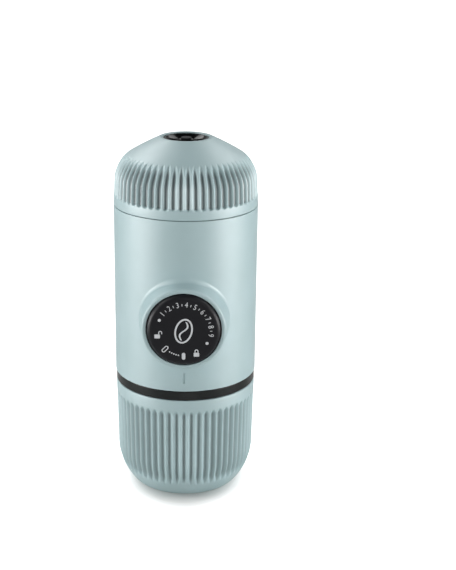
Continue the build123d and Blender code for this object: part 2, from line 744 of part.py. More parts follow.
# =================================================================================
# Pump frame: flanges, side columns, the pump's cylinder and the water column
# =================================================================================
with BuildPart() as pump_frame:
    with BuildSketch(Plane.XY.offset(frame_top - frame_flange)):
        Circle(flange_radius)
    extrude(amount=frame_flange)
    with BuildSketch(Plane.XY.offset(frame_low)):
        Circle(flange_radius)
        with Locations((0, -frame_front - body_radius)):
            Rectangle(4 * body_radius, 2 * body_radius, mode=Mode.SUBTRACT)
        with Locations((0, column_back)):
            Circle(column_radius + run_gap, mode=Mode.SUBTRACT)
        Circle(screen_boss_radius + run_gap, mode=Mode.SUBTRACT)
    extrude(amount=frame_flange)
    with BuildSketch(Plane.XY.offset(frame_low)):
        with GridLocations(2 * side_column_middle, 0, 2, 1):
            Rectangle(side_column_width, side_column_depth)
    extrude(amount=frame_top - frame_low)
    with BuildSketch(Plane.XY.offset(column_low)):
        with Locations((0, column_back)):
            Circle(column_radius)
    extrude(amount=frame_top - column_low)
    with BuildSketch(Plane.XY.offset(pump_height - side_column_width / 2)):
        Rectangle(2 * side_column_middle, side_column_depth)
    extrude(amount=side_column_width)
    with BuildSketch(pump_plane.offset(housing_front)):
        Circle(housing_radius)
    extrude(amount=-(housing_front + column_back))
    with BuildSketch(pump_plane.offset(housing_front)):
        Circle(sleeve_inner)
    extrude(amount=-housing_flange)
    with BuildSketch(Plane.XY.offset(frame_low)):
        with Locations((0, column_back)):
            Circle(column_radius + run_gap)
    extrude(amount=column_low - frame_low, mode=Mode.SUBTRACT)
    with BuildSketch(pump_plane.offset(housing_front)):
        Circle(housing_bore)
    extrude(amount=-(housing_front - cylinder_back), mode=Mode.SUBTRACT)
    with BuildSketch(pump_plane.offset(cylinder_back)):
        Circle(channel_radius)
    extrude(amount=-(column_back + cylinder_back), mode=Mode.SUBTRACT)
    with BuildSketch(Plane.XY.offset(column_low)):
        with Locations((0, column_back)):
            Circle(channel_radius)
    extrude(amount=frame_top - column_low, mode=Mode.SUBTRACT)
    with BuildSketch(Plane.XY.offset(inlet_low)):
        with Locations((0, column_back)):
            Circle(valve_bore)
    extrude(amount=frame_top - inlet_low, mode=Mode.SUBTRACT)
    with BuildSketch(Plane.XY.offset(frame_top)):
        with Locations((0, column_back)):
            Circle(seal_ring_radius + seal_ring_wire + fixed_gap)
            Circle(seal_ring_radius - seal_ring_wire - fixed_gap, mode=Mode.SUBTRACT)
    extrude(amount=-2 * seal_ring_wire, mode=Mode.SUBTRACT)
    with BuildSketch(Plane.XY.offset(frame_top)):
        with GridLocations(*deck_screw_spacing, 2, 2):
            Circle(screw_radius + screw_hole_gap)
    extrude(amount=-(deck_screw_length - deck_floor), mode=Mode.SUBTRACT)
    with BuildSketch(Plane.XY.offset(frame_low)):
        with GridLocations(*brew_screw_spacing, 2, 2):
            Circle(screw_radius + screw_hole_gap)
    extrude(amount=frame_flange, mode=Mode.SUBTRACT)
pump_frame.part.label = "pump_frame"
export_step(pump_frame.part, "parts/pump_frame.step")

with BuildPart() as cylinder_liner:
    with BuildSketch(pump_plane.offset(liner_front)):
        Circle(liner_outer)
        Circle(liner_bore, mode=Mode.SUBTRACT)
    extrude(amount=-(liner_front - liner_back))
cylinder_liner.part.label = "cylinder_liner"
export_step(cylinder_liner.part, "parts/cylinder_liner.step")

# =================================================================================
# Check valves: seat, ball and spring, one in the frame and one in the brew head
# =================================================================================
column_plane = Plane(origin=(0, column_back, 0), x_dir=(1, 0, 0), z_dir=(0, -1, 0))
column_axis = Axis((0, column_back, 0), (0, 0, 1))
valve_spring_radius = valve_bore - 2 * run_gap - valve_spring_wire
valve_coil = coil(valve_spring_turns, valve_spring_height, valve_spring_radius, valve_spring_wire)

for valve_name, shoulder in (("inlet", inlet_low), ("outlet", outlet_low)):
    with BuildPart() as valve_seat:
        with BuildSketch(column_plane):
            with BuildLine():
                cone = seat_cone - seat_hole
                Polyline(
                    (seat_cone, shoulder + seat_low),
                    (valve_bore - seat_fit, shoulder + seat_low),
                    (valve_bore - seat_fit, shoulder + seat_low + seat_height),
                    (seat_hole, shoulder + seat_low + seat_height),
                    (seat_hole, shoulder + seat_low + cone),
                    close=True,
                )
            make_face()
        revolve(axis=column_axis)
    valve_seat.part.label = valve_name + "_valve_seat"
    export_step(valve_seat.part, "parts/" + valve_name + "_valve_seat.step")

    with BuildPart() as valve_ball:
        with Locations((0, column_back, shoulder + valve_spring_height + 2 * fixed_gap + ball_radius)):
            Sphere(ball_radius)
    valve_ball.part.label = valve_name + "_valve_ball"
    export_step(valve_ball.part, "parts/" + valve_name + "_valve_ball.step")

    with BuildPart() as valve_spring:
        with Locations((0, column_back, shoulder + fixed_gap)):
            add(valve_coil)
    valve_spring.part.label = valve_name + "_valve_spring"
    export_step(valve_spring.part, "parts/" + valve_name + "_valve_spring.step")

for seal_name, seal_top in (("inlet_o_ring", frame_top), ("outlet_o_ring", tower_top)):
    with BuildPart() as channel_seal:
        with BuildSketch(column_plane):
            with Locations((seal_ring_radius, seal_top - seal_ring_wire + fixed_gap / 2)):
                Circle(seal_ring_wire)
        revolve(axis=column_axis)
    channel_seal.part.label = seal_name
    export_step(channel_seal.part, "parts/" + seal_name + ".step")

# =================================================================================
# Dial guide: bush in the collar and the lock ring on the pump's front
# =================================================================================
with BuildPart() as guide_bush:
    with BuildSketch(pump_plane.offset(bush_back)):
        Circle(bush_outer)
        Circle(bush_inner, mode=Mode.SUBTRACT)
    extrude(amount=rim_front - rim_lip - fixed_gap - bush_back)
guide_bush.part.label = "guide_bush"
export_step(guide_bush.part, "parts/guide_bush.step")

window_shape = sector(lock_inner / 2, lock_window, lug_width + unlock_turn + 2 * lock_margin)
with BuildPart() as lock_ring:
    with BuildSketch(pump_plane.offset(housing_front)):
        Circle(lock_outer)
        Circle(lock_inner, mode=Mode.SUBTRACT)
    extrude(amount=lock_ring_front - housing_front)
    with BuildSketch(pump_plane.offset(lug_back - run_gap)):
        with PolarLocations(0, 2, start_angle=unlock_turn / 2):
            add(window_shape)
    extrude(amount=lock_ring_front, mode=Mode.SUBTRACT)
lock_ring.part.label = "lock_ring"
export_step(lock_ring.part, "parts/lock_ring.step")

spring_length = sleeve_front - sleeve_web - housing_front - 2 * fixed_gap
spring_coil = coil(spring_turns, spring_length, spring_radius, spring_wire)
with BuildPart() as piston_spring:
    with Locations(pump_plane.offset(housing_front + fixed_gap)):
        add(spring_coil)
piston_spring.part.label = "piston_spring"
export_step(piston_spring.part, "parts/piston_spring.step")

# =================================================================================
# Piston rod with its seal and clip
# =================================================================================
seal_back = piston_back + (piston_length - piston_seal_width) / 2
spigot_end = sleeve_front - seat_gap

with BuildPart() as piston_rod:
    with BuildSketch(pump_plane.offset(piston_back)):
        Circle(piston_radius)
    extrude(amount=piston_length)
    with BuildSketch(pump_plane.offset(piston_back)):
        Circle(rod_radius)
    extrude(amount=rod_shoulder - piston_back)
    with BuildSketch(pump_plane.offset(rod_shoulder)):
        Circle(spigot_radius)
    extrude(amount=spigot_end - rod_shoulder)
    with BuildSketch(pump_plane.offset(seal_back)):
        Circle(piston_radius + 1)
        Circle(seal_outer - seal_depth, mode=Mode.SUBTRACT)
    extrude(amount=piston_seal_width, mode=Mode.SUBTRACT)
    with BuildSketch(pump_plane.offset(clip_back)):
        Circle(spigot_radius + 1)
        Circle(spigot_radius - clip_groove, mode=Mode.SUBTRACT)
    extrude(amount=clip_thickness, mode=Mode.SUBTRACT)
piston_rod.part.label = "piston_rod"
export_step(piston_rod.part, "parts/piston_rod.step")

with BuildPart() as piston_seal:
    with BuildSketch(pump_plane.offset(seal_back + fixed_gap)):
        Circle(seal_outer)
        Circle(seal_outer - seal_depth + fixed_gap, mode=Mode.SUBTRACT)
    extrude(amount=piston_seal_width - 2 * fixed_gap)
    seal_edges = piston_seal.edges().filter_by(GeomType.CIRCLE)
    fillet([e for e in seal_edges if abs(e.radius - seal_outer) < 0.001], seal_round)
piston_seal.part.label = "piston_seal"
export_step(piston_seal.part, "parts/piston_seal.step")

with BuildPart() as rod_clip:
    with BuildSketch(pump_plane.offset(clip_back + slide_fit)):
        Circle(clip_radius)
        Circle(spigot_radius - clip_groove + slide_fit, mode=Mode.SUBTRACT)
        with Locations((0, -clip_radius)):
            Rectangle(2 * (spigot_radius - clip_groove), clip_radius * 2, mode=Mode.SUBTRACT)
    extrude(amount=clip_thickness - 2 * slide_fit)
rod_clip.part.label = "rod_clip"
export_step(rod_clip.part, "parts/rod_clip.step")

# =================================================================================
# Dial: sleeve with the lock lugs, and the printed cap on its front
# =================================================================================
lug_shape = sector(rod_radius, lug_reach, lug_width)
with BuildPart() as knob_sleeve:
    with BuildSketch(pump_plane.offset(sleeve_back)):
        Circle(knob_radius)
        Circle(sleeve_inner, mode=Mode.SUBTRACT)
    extrude(amount=sleeve_length)
    with BuildSketch(pump_plane.offset(sleeve_front)):
        Circle(sleeve_inner + sleeve_wall / 2)
    extrude(amount=-sleeve_web)
    with BuildSketch(pump_plane.offset(sleeve_front)):
        Circle(hub_radius)
    extrude(amount=-(sleeve_front - lug_back))
    with BuildSketch(pump_plane.offset(lug_back)):
        with PolarLocations(0, 2):
            add(lug_shape)
    extrude(amount=lug_length)
    with BuildSketch(pump_plane.offset(lug_back)):
        Circle(rod_radius + run_gap)
    extrude(amount=rod_shoulder + fixed_gap - lug_back, mode=Mode.SUBTRACT)
    with BuildSketch(pump_plane.offset(lug_back)):
        Circle(spigot_radius + slide_fit)
    extrude(amount=sleeve_front - lug_back, mode=Mode.SUBTRACT)
    with BuildSketch(pump_plane.offset(clip_back - seat_gap / 2)):
        Circle(clip_radius + run_gap)
    extrude(amount=sleeve_front - clip_back + seat_gap, mode=Mode.SUBTRACT)
knob_sleeve.part.label = "knob_sleeve"
export_step(knob_sleeve.part, "parts/knob_sleeve.step")

with BuildPart() as dial_cap:
    with BuildSketch(pump_plane.offset(sleeve_front)):
        Circle(knob_radius)
    extrude(amount=cap_thickness)
    fillet(dial_cap.edges().group_by(Axis.Y)[0], knob_edge_radius)
dial_cap.part.label = "dial_cap"
export_step(dial_cap.part, "parts/dial_cap.step")

# =================================================================================
# Water tank: ribbed dome with its threaded spigot, seal and vent
# =================================================================================
shoulder_high = tank_low + tank_shoulder_height
shoulder_middle = (tank_shoulder_radius - shoulder_radius, shoulder_high)
turn_end = radians(shoulder_turn)
turn_half = radians(shoulder_turn / 2)


def shoulder_point(arc_radius, turn):
    """A point on an arc about the shoulder's centre, its angle measured up from the wall."""
    return (shoulder_middle[0] + arc_radius * cos(turn), shoulder_middle[1] + arc_radius * sin(turn))


with BuildPart() as tank_groove:
    groove_wall = tank_shoulder_radius + groove_radius - groove_depth
    wall_lean = (body_radius - tank_shoulder_radius) / tank_shoulder_height
    groove_foot_height = tank_low + tank_groove_low + groove_radius
    groove_foot_radius = groove_wall + wall_lean * (shoulder_high - groove_foot_height)
    with BuildLine(Plane.XZ) as tank_groove_path:
        Line((groove_foot_radius, groove_foot_height), (groove_wall, shoulder_high))
        JernArc((groove_wall, shoulder_high), (-wall_lean, 1), tank_groove_fade, tank_groove_turn)
    groove_start = tank_groove_path.line @ 0
    with Locations(groove_start):
        Sphere(groove_radius)
    with BuildSketch(Plane(origin=groove_start, z_dir=tank_groove_path.line % 0)):
        Circle(groove_radius)
    sweep(path=tank_groove_path.line)

with BuildPart() as water_tank:
    crown_start = shoulder_point(shoulder_radius, turn_end)
    rim_point = (tank_rim_radius, tank_top)
    chord = hypot(crown_start[0] - rim_point[0], rim_point[1] - crown_start[1])
    crown_rise = chord**2 / (8 * crown_radius)
    crown_half = (
        (crown_start[0] + rim_point[0]) / 2 + crown_rise * (rim_point[1] - crown_start[1]) / chord,
        (crown_start[1] + rim_point[1]) / 2 + crown_rise * (crown_start[0] - rim_point[0]) / chord,
    )
    inner_start = shoulder_point(shoulder_radius - tank_wall, turn_end)
    boss_low = tank_top - vent_bore_depth - vent_boss_wall
    inner_slope = (rim_point[1] - crown_start[1]) / (crown_start[0] - rim_point[0])
    inner_end_height = inner_start[1] + (inner_start[0] - vent_boss_radius) * inner_slope
    with BuildSketch(Plane.XZ):
        with BuildLine():
            Line((body_radius, tank_low), (tank_shoulder_radius, shoulder_high))
            ThreePointArc(
                (tank_shoulder_radius, shoulder_high),
                shoulder_point(shoulder_radius, turn_half),
                crown_start,
            )
            ThreePointArc(crown_start, crown_half, rim_point)
            Polyline(
                rim_point,
                (vent_bore, tank_top),
                (vent_bore, tank_top - vent_bore_depth),
                (vent_hole, tank_top - vent_bore_depth),
                (vent_hole, boss_low),
                (vent_boss_radius, boss_low),
                (vent_boss_radius, inner_end_height),
                inner_start,
            )
            ThreePointArc(
                inner_start,
                shoulder_point(shoulder_radius - tank_wall, turn_half),
                (tank_shoulder_radius - tank_wall, shoulder_high),
            )
            Polyline(
                (tank_shoulder_radius - tank_wall, shoulder_high),
                (tank_shoulder_radius - tank_wall, tank_low + 2 * tank_wall),
                (spigot_inner, tank_low + tank_wall),
                (spigot_inner, tank_spigot_low),
                (spigot_outer, tank_spigot_low),
                (spigot_outer, tank_low),
                (body_radius, tank_low),
            )
        make_face()
    revolve(axis=Axis.Z)
    with PolarLocations(0, tank_groove_count):
        add(tank_groove.part, mode=Mode.SUBTRACT)
    with PolarLocations(0, thread_starts, start_angle=upper_ridge_start):
        add(upper_ridge)
water_tank.part.label = "water_tank"
export_step(water_tank.part, "parts/water_tank.step")

with BuildPart() as tank_seal:
    with BuildSketch(Plane.XZ):
        ring_section(
            spigot_outer - tank_seal_width,
            spigot_outer,
            deck_top + seat_gap,
            deck_top + seat_gap + tank_seal_thickness,
        )
    revolve(axis=Axis.Z)
tank_seal.part.label = "tank_seal"
export_step(tank_seal.part, "parts/tank_seal.step")

with BuildPart() as vent_insert:
    insert_radius = vent_bore - fixed_gap
    insert_rim = tank_top - vent_drop
    insert_seat = tank_top - vent_bore_depth
    button_high = insert_rim - vent_button_drop
    dish_low = insert_rim - vent_dish_depth
    dish_middle = (insert_radius - vent_rim + vent_button_radius) / 2
    with BuildSketch(Plane.XZ):
        with BuildLine():
            Polyline(
                (vent_stem_radius + slide_fit, boss_low),
                (vent_hole - fixed_gap, boss_low),
                (vent_hole - fixed_gap, insert_seat + fixed_gap),
                (insert_radius, insert_seat + fixed_gap),
                (insert_radius, insert_rim),
                (insert_radius - vent_rim, insert_rim),
            )
            ThreePointArc(
                (insert_radius - vent_rim, insert_rim),
                (dish_middle, dish_low + vent_dish_depth / 5),
                (vent_button_radius, dish_low),
            )
            Polyline(
                (vent_button_radius, dish_low),
                (vent_button_radius, button_high),
                (vent_stem_radius + slide_fit, button_high),
                (vent_stem_radius + slide_fit, boss_low),
            )
        make_face()
    revolve(axis=Axis.Z)
    spoke_low = (insert_seat + fixed_gap + dish_low) / 2
    with BuildSketch(Plane.XY.offset(spoke_low)):
        with PolarLocations(dish_middle, vent_spoke_count, start_angle=180 / vent_spoke_count):
            Rectangle(insert_radius - vent_button_radius, vent_spoke_width)
    extrude(amount=insert_rim - vent_spoke_drop - spoke_low)
vent_insert.part.label = "vent_insert"
export_step(vent_insert.part, "parts/vent_insert.step")

with BuildPart() as vent_valve:
    head_low = button_high + fixed_gap
    with BuildSketch(Plane.XZ):
        ring_section(0, vent_stem_radius, boss_low, head_low)
        ring_section(0, vent_head_radius, head_low, head_low + vent_head_height)
    revolve(axis=Axis.Z)
vent_valve.part.label = "vent_valve"
export_step(vent_valve.part, "parts/vent_valve.step")
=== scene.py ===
"""A handheld manual espresso maker, dressed on its construction frame.

The sections follow the object as it is put together: view and studio first, then the
cup, the portafilter with its basket, the pump case with the pump and its dial, and the
water tank. +Z is up and the dial faces -Y.

Blender's lengths are metres. Sizes are written in millimetres times mm, but for the cup
and the tank, whose sections and grooves are worked out in plain millimetres.
"""
import math

import bmesh
import bpy
from mathutils import Matrix, Vector


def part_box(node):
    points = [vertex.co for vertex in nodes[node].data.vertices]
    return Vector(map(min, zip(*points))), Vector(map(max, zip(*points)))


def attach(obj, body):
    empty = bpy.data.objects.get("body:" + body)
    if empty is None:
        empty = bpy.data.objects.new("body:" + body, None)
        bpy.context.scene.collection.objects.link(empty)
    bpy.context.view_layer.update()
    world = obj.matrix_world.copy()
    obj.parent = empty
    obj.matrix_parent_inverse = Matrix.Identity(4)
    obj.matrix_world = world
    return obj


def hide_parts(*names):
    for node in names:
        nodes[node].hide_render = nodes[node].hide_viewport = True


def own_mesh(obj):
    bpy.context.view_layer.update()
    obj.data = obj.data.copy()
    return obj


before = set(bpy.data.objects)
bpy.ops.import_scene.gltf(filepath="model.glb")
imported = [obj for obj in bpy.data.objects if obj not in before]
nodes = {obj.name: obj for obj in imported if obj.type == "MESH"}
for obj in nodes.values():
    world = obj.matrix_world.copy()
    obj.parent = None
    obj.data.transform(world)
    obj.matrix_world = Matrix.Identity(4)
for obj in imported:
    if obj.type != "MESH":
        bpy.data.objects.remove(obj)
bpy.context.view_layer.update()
mm = 0.001

# ---------------------------------------------------------------------------------
# View: a short telephoto half a metre away and a hand's breadth higher than the object,
# which stands left of the middle. The dial faces the camera but for a degree or so.
# ---------------------------------------------------------------------------------
camera_distance = 520.3 * mm
camera_height = 260.2 * mm
camera_pitch = math.radians(18.11)
camera_yaw = math.radians(-2.042)
camera_roll = math.radians(0.791)
dial_turn = math.radians(1.2)
frame_height_px = 570
focal_px = 1245.9
sensor_mm = 36.0
quarter_turn = math.pi / 2

camera_data = bpy.data.cameras.new("view")
camera_data.sensor_width = sensor_mm
camera_data.lens = sensor_mm * focal_px / frame_height_px
camera_data.clip_start = 0.01
camera_data.clip_end = 20.0
camera = bpy.data.objects.new("view", camera_data)
bpy.context.scene.collection.objects.link(camera)
camera.matrix_world = (
    Matrix.Rotation(dial_turn, 4, "Z")
    @ Matrix.Translation((0, -camera_distance, camera_height))
    @ Matrix.Rotation(camera_yaw, 4, "Z")
    @ Matrix.Rotation(quarter_turn - camera_pitch, 4, "X")
    @ Matrix.Rotation(camera_roll, 4, "Z")
)
bpy.context.scene.camera = camera
bpy.context.scene.view_settings.view_transform = "Standard"

# ---------------------------------------------------------------------------------
# Studio: a white table top that goes on as a white sweep. It is polished a little, so
# it keeps a contact shadow and a faint mirror image. Softboxes stand at both sides and
# behind, low and high, and the room in front is nearly dark.
# ---------------------------------------------------------------------------------
floor_reach = 3.0           # metres from the object to the table's edge
shadow_core = 24 * mm       # from the object's middle, where the table starts to turn white
shadow_reach = 44 * mm      # and where it is all white
shadow_narrowing = 1.35     # the table's glow comes this much closer beside the object: painted light that washes its shadow out there
room_fill = 0.015           # what the dark room gives every surface
room_gloss = 0.05           # what a gloss surface mirrors of the room
backdrop_gloss = 0.35       # and of the white sweep behind the object
backdrop_edge = 0.6         # how far towards +Y a mirrored ray points to meet the sweep's edge
backdrop_middle = 0.95      # and its brightest part


def linear(hex_colour):
    """RGBA in linear light from a colour written as "rrggbb"."""
    parts = [int(hex_colour[i:i + 2], 16) / 255 for i in (0, 2, 4)]
    return tuple(c / 12.92 if c <= 0.04045 else ((c + 0.055) / 1.055) ** 2.4 for c in parts) + (1.0,)


def add_node(tree, kind, settings=None, links=None):
    """One node: settings by property or input name, links as {input: (node, output)}."""
    node = tree.nodes.new(kind)
    for key, value in (settings or {}).items():
        if isinstance(key, str) and hasattr(node, key):
            setattr(node, key, value)
        else:
            node.inputs[key].default_value = value
    for key, (source, output) in (links or {}).items():
        tree.links.new(source.outputs[output], node.inputs[key])
    return node


def new_material(name):
    """A material with an empty tree and its output node."""
    material = bpy.data.materials.new(name)
    material.use_nodes = True
    material.node_tree.nodes.clear()
    return material, material.node_tree, add_node(material.node_tree, "ShaderNodeOutputMaterial")


floor_mesh = bmesh.new()
bmesh.ops.create_grid(floor_mesh, x_segments=1, y_segments=1, size=floor_reach)
floor_data = bpy.data.meshes.new("floor")
floor_mesh.to_mesh(floor_data)
floor_mesh.free()
floor = bpy.data.objects.new("floor", floor_data)
bpy.context.scene.collection.objects.link(floor)

table_top, tree, output = new_material("lacquered_white_table_top")
rays = add_node(tree, "ShaderNodeLightPath")
place = add_node(tree, "ShaderNodeTexCoord")
# Painted light: the glow's ring is squeezed in at the sides, so the shadow beside the object is washed out.
narrowed = add_node(tree, "ShaderNodeMapping", {"Scale": (shadow_narrowing, 1, 1)}, {
    "Vector": (place, "Object"),
})
away = add_node(tree, "ShaderNodeVectorMath", {"operation": "LENGTH"}, {0: (narrowed, "Vector")})
glow_level = add_node(tree, "ShaderNodeMapRange", {
    "interpolation_type": "SMOOTHSTEP",
    "From Min": shadow_core,
    "From Max": shadow_reach,
}, {"Value": (away, "Value")})
seen_glow = add_node(tree, "ShaderNodeMath", {"operation": "MULTIPLY"}, {
    0: (rays, "Is Camera Ray"),
    1: (glow_level, "Result"),
})
lacquer = add_node(tree, "ShaderNodeBsdfPrincipled", {
    "Base Color": linear("d8d8d6"),
    "Roughness": 0.10,
    "Specular IOR Level": 0.5,
})
glow = add_node(tree, "ShaderNodeEmission", {"Color": (1, 1, 1, 1)}, {"Strength": (seen_glow, "Value")})
glowing_lacquer = add_node(tree, "ShaderNodeAddShader", None, {0: (lacquer, "BSDF"), 1: (glow, "Emission")})
tree.links.new(glowing_lacquer.outputs[0], output.inputs["Surface"])
floor_data.materials.append(table_top)

world = bpy.data.worlds.new("white_sweep")
world.use_nodes = True
tree = world.node_tree
tree.nodes.clear()
rays = add_node(tree, "ShaderNodeLightPath")
seen = add_node(tree, "ShaderNodeMath", {"operation": "MAXIMUM"}, {
    0: (rays, "Is Camera Ray"),
    1: (rays, "Is Transmission Ray"),
})
direction = add_node(tree, "ShaderNodeTexCoord")
heading = add_node(tree, "ShaderNodeSeparateXYZ", None, {"Vector": (direction, "Generated")})
behind = add_node(tree, "ShaderNodeMapRange", {
    "interpolation_type": "SMOOTHSTEP",
    "From Min": backdrop_edge,
    "From Max": backdrop_middle,
    "To Min": room_gloss,
    "To Max": backdrop_gloss,
}, {"Value": (heading, "Y")})
mirrored = add_node(tree, "ShaderNodeMath", {"operation": "MULTIPLY_ADD", 2: room_fill}, {
    0: (rays, "Is Glossy Ray"),
    1: (behind, "Result"),
})
level = add_node(tree, "ShaderNodeMath", {"operation": "MAXIMUM"}, {
    0: (seen, "Value"),
    1: (mirrored, "Value"),
})
room = add_node(tree, "ShaderNodeBackground", {"Color": (1, 1, 1, 1)}, {"Strength": (level, "Value")})
add_node(tree, "ShaderNodeOutputWorld", None, {"Surface": (room, "Background")})
bpy.context.scene.world = world

light_target = 80 * mm      # every softbox aims at the object at this height

# name, degrees from the front, then metres: distance, height, width, tall; watts at the left and right
softboxes = (
    ("side_softbox", 72, 1.1, 0.13, 0.70, 0.24, 7.4, 7.9),
    ("front_quarter_softbox", 46, 1.1, 0.16, 0.32, 0.30, 0.5, 0.5),
    ("high_front_softbox", 55, 0.6, 1.10, 0.36, 0.36, 0.4, 0.4),
    ("high_side_softbox", 80, 0.85, 0.80, 0.40, 0.40, 2.9, 1.9),
    ("rear_softbox", 136, 0.85, 0.95, 0.50, 0.50, 4.0, 3.0),
    ("front_softbox", 8, 1.2, 0.60, 0.60, 0.60, 0.0, 1.4),
)
for name, azimuth, distance, height, width, tall, left_watts, right_watts in softboxes:
    for side, watts in ((-1, left_watts), (1, right_watts)):
        if not watts:
            continue
        light = bpy.data.lights.new(name, "AREA")
        light.shape = "RECTANGLE"
        light.size = width
        light.size_y = tall
        light.energy = watts
        lamp = bpy.data.objects.new(name, light)
        bpy.context.scene.collection.objects.link(lamp)
        turn = side * math.radians(azimuth)
        lamp.location = (distance * math.sin(turn), -distance * math.cos(turn), height)
        aim = Vector((0, 0, light_target)) - lamp.location
        lamp.rotation_euler = aim.to_track_quat("-Z", "Y").to_euler()

# ---------------------------------------------------------------------------------
# Cup: a round-bottomed ABS cup, moulded with sixty upright finger grooves and sprayed
# with the same satin paint as the case and the tank. The paint is a flat coat with a
# faint orange peel and a soft, wide sheen. It stands on a narrow flat foot.
# ---------------------------------------------------------------------------------
paint_peel = 0.9 * mm
paint_peel_height = 0.010 * mm
paint_drift = 14 * mm       # the size of the paint's faint clouds
paint_cloud = "a0bcbf"
paint_clear = "a6c1c5"
paint_smoothest = 0.48      # roughness in the peel's hollows and on its tops
paint_roughest = 0.54
# Painted shade: deep in the grooves the paint's colour is mixed towards this dark tone, in place of the
# shade that falls there.
painted_groove_shade = "365155"
painted_shade_start = 0.3           # of a groove's depth, where the painted shade in it begins

shell_paint, tree, output = new_material("satin_spray_paint_on_abs")
place = add_node(tree, "ShaderNodeTexCoord")
peel = add_node(tree, "ShaderNodeTexNoise", {"Scale": 1 / paint_peel, "Detail": 1.5}, {
    "Vector": (place, "Object"),
})
peel_bump = add_node(tree, "ShaderNodeBump", {"Strength": 1.0, "Distance": paint_peel_height}, {
    "Height": (peel, "Fac"),
})
drift = add_node(tree, "ShaderNodeTexNoise", {"Scale": 1 / paint_drift, "Detail": 2.0}, {
    "Vector": (place, "Object"),
})
tint = add_node(tree, "ShaderNodeValToRGB", None, {"Fac": (drift, "Fac")})
tint.color_ramp.elements[0].position = 0.3
tint.color_ramp.elements[0].color = linear(paint_cloud)
tint.color_ramp.elements[1].position = 0.7
tint.color_ramp.elements[1].color = linear(paint_clear)
satin = add_node(tree, "ShaderNodeMapRange", {
    "To Min": paint_smoothest,
    "To Max": paint_roughest,
}, {"Value": (peel, "Fac")})
# The groove mask mixes the painted groove shade into the paint's colour.
groove_part = add_node(tree, "ShaderNodeAttribute", {"attribute_name": "groove_share"})
shaded = add_node(tree, "ShaderNodeMapRange", {
    "interpolation_type": "SMOOTHSTEP",
    "From Min": painted_shade_start,
}, {"Value": (groove_part, "Fac")})
painted_groove_darkening = add_node(tree, "ShaderNodeMix", {"data_type": "RGBA", 7: linear(painted_groove_shade)}, {
    0: (shaded, "Result"),
    6: (tint, "Color"),
})
skin = add_node(tree, "ShaderNodeBsdfPrincipled", {
    "IOR": 1.65,
    "Specular IOR Level": 0.8,
    "Coat Weight": 1.0,
    "Coat IOR": 1.75,
    "Coat Roughness": 0.50,
}, {
    "Base Color": (painted_groove_darkening, 2),
    "Roughness": (satin, "Result"),
    "Normal": (peel_bump, "Normal"),
})
tree.links.new(skin.outputs["BSDF"], output.inputs["Surface"])

cup_height = 47.8
cup_floor = 2.4
cup_rim_radius = 30.75
cup_rim_wall = 1.8
cup_rim_rounding = 0.35
cup_low_radius = 30.2
cup_round_height = 16.6     # where the straight wall runs into the round bottom
cup_straight_low = 17.5     # the straight wall's lowest row of the mesh
cup_round_radius = 22.7
cup_round_corner = 6.76     # height of the round bottom's corner, before its rounding
cup_foot_radius = 23.03
cup_foot_rounding = 0.8
cup_inner_radius = 28.4
cup_inner_round_radius = 21
cup_inner_round_corner = 8.43
cup_inner_floor_radius = 22.87
cup_inner_floor_rounding = 1.5
cup_groove_count = 60
cup_groove_top = 40.0       # grooves are at full depth up to here
cup_groove_runout = 2.6     # and get shallower over this height
cup_plain_wall = 43.1       # the wall is plain from here up to the rim
cup_groove_low = 10.6       # grooves are at full depth down to here
cup_groove_end = 6.4        # and have run out here
# how much painted shade shows deep in the cup's grooves
cup_groove_painted_shade = 0.72

steps_per_slice = 16
groove_depth = 1.15
groove_narrowing = 0.72     # over 1, the ribs' crests are broader than the grooves
groove_blend = 0.34         # how softly a groove's edge runs into the wall
groove_end_dip = 0.2        # a groove leaves a rounding's surface steeper with more of this
merge_distance = 0.001 * mm
smooth_up_to = 35           # degrees between faces, past which an edge stays sharp


def round_corners(shape, corners, offset, segments):
    """Rounds flat corners. Offset is how far from its corner a rounding starts, in metres."""
    bmesh.ops.bevel(
        shape,
        geom=corners,
        offset=offset,
        offset_type="OFFSET",
        segments=segments,
        profile=0.5,
        affect="VERTICES",
        material=-1,
    )


def half_section(corners, closed=True):
    """A wire in the XZ plane through (radius, height, rounding, segments) corners, in mm.

    The last two are left out where a corner stays as it is.
    """
    chain = bmesh.new()
    verts = [chain.verts.new((corner[0] * mm, 0, corner[1] * mm)) for corner in corners]
    for start, end in zip(verts, verts[1:]):
        chain.edges.new((start, end))
    if closed:
        chain.edges.new((verts[-1], verts[0]))
    for vert, corner in zip(verts, corners):
        if len(corner) == 4:
            one_way, other_way = [edge.other_vert(vert).co - vert.co for edge in vert.link_edges]
            half_turn = (math.pi - one_way.angle(other_way)) / 2
            round_corners(chain, [vert], corner[2] * mm * math.tan(half_turn), corner[3])
    return chain


def run(start, end, steps):
    """The points from start to end of a straight stretch of a half section."""
    return [
        (start[0] + (end[0] - start[0]) * k / steps, start[1] + (end[1] - start[1]) * k / steps)
        for k in range(steps + 1)
    ]


def lathe(chain, slices):
    """Turns a half section about Z into one slice of a closed skin, and repeats the slice all round."""
    slice_turn = math.tau / slices
    bmesh.ops.spin(
        chain,
        geom=chain.verts[:] + chain.edges[:],
        axis=(0, 0, 1),
        angle=slice_turn,
        steps=steps_per_slice,
        use_merge=False,
    )
    bmesh.ops.spin(
        chain,
        geom=chain.verts[:] + chain.edges[:] + chain.faces[:],
        axis=(0, 0, 1),
        angle=math.tau - slice_turn,
        steps=slices - 1,
        use_duplicate=True,
    )
    bmesh.ops.remove_doubles(chain, verts=chain.verts, dist=merge_distance)
    bmesh.ops.recalc_face_normals(chain, faces=chain.faces)
    return chain


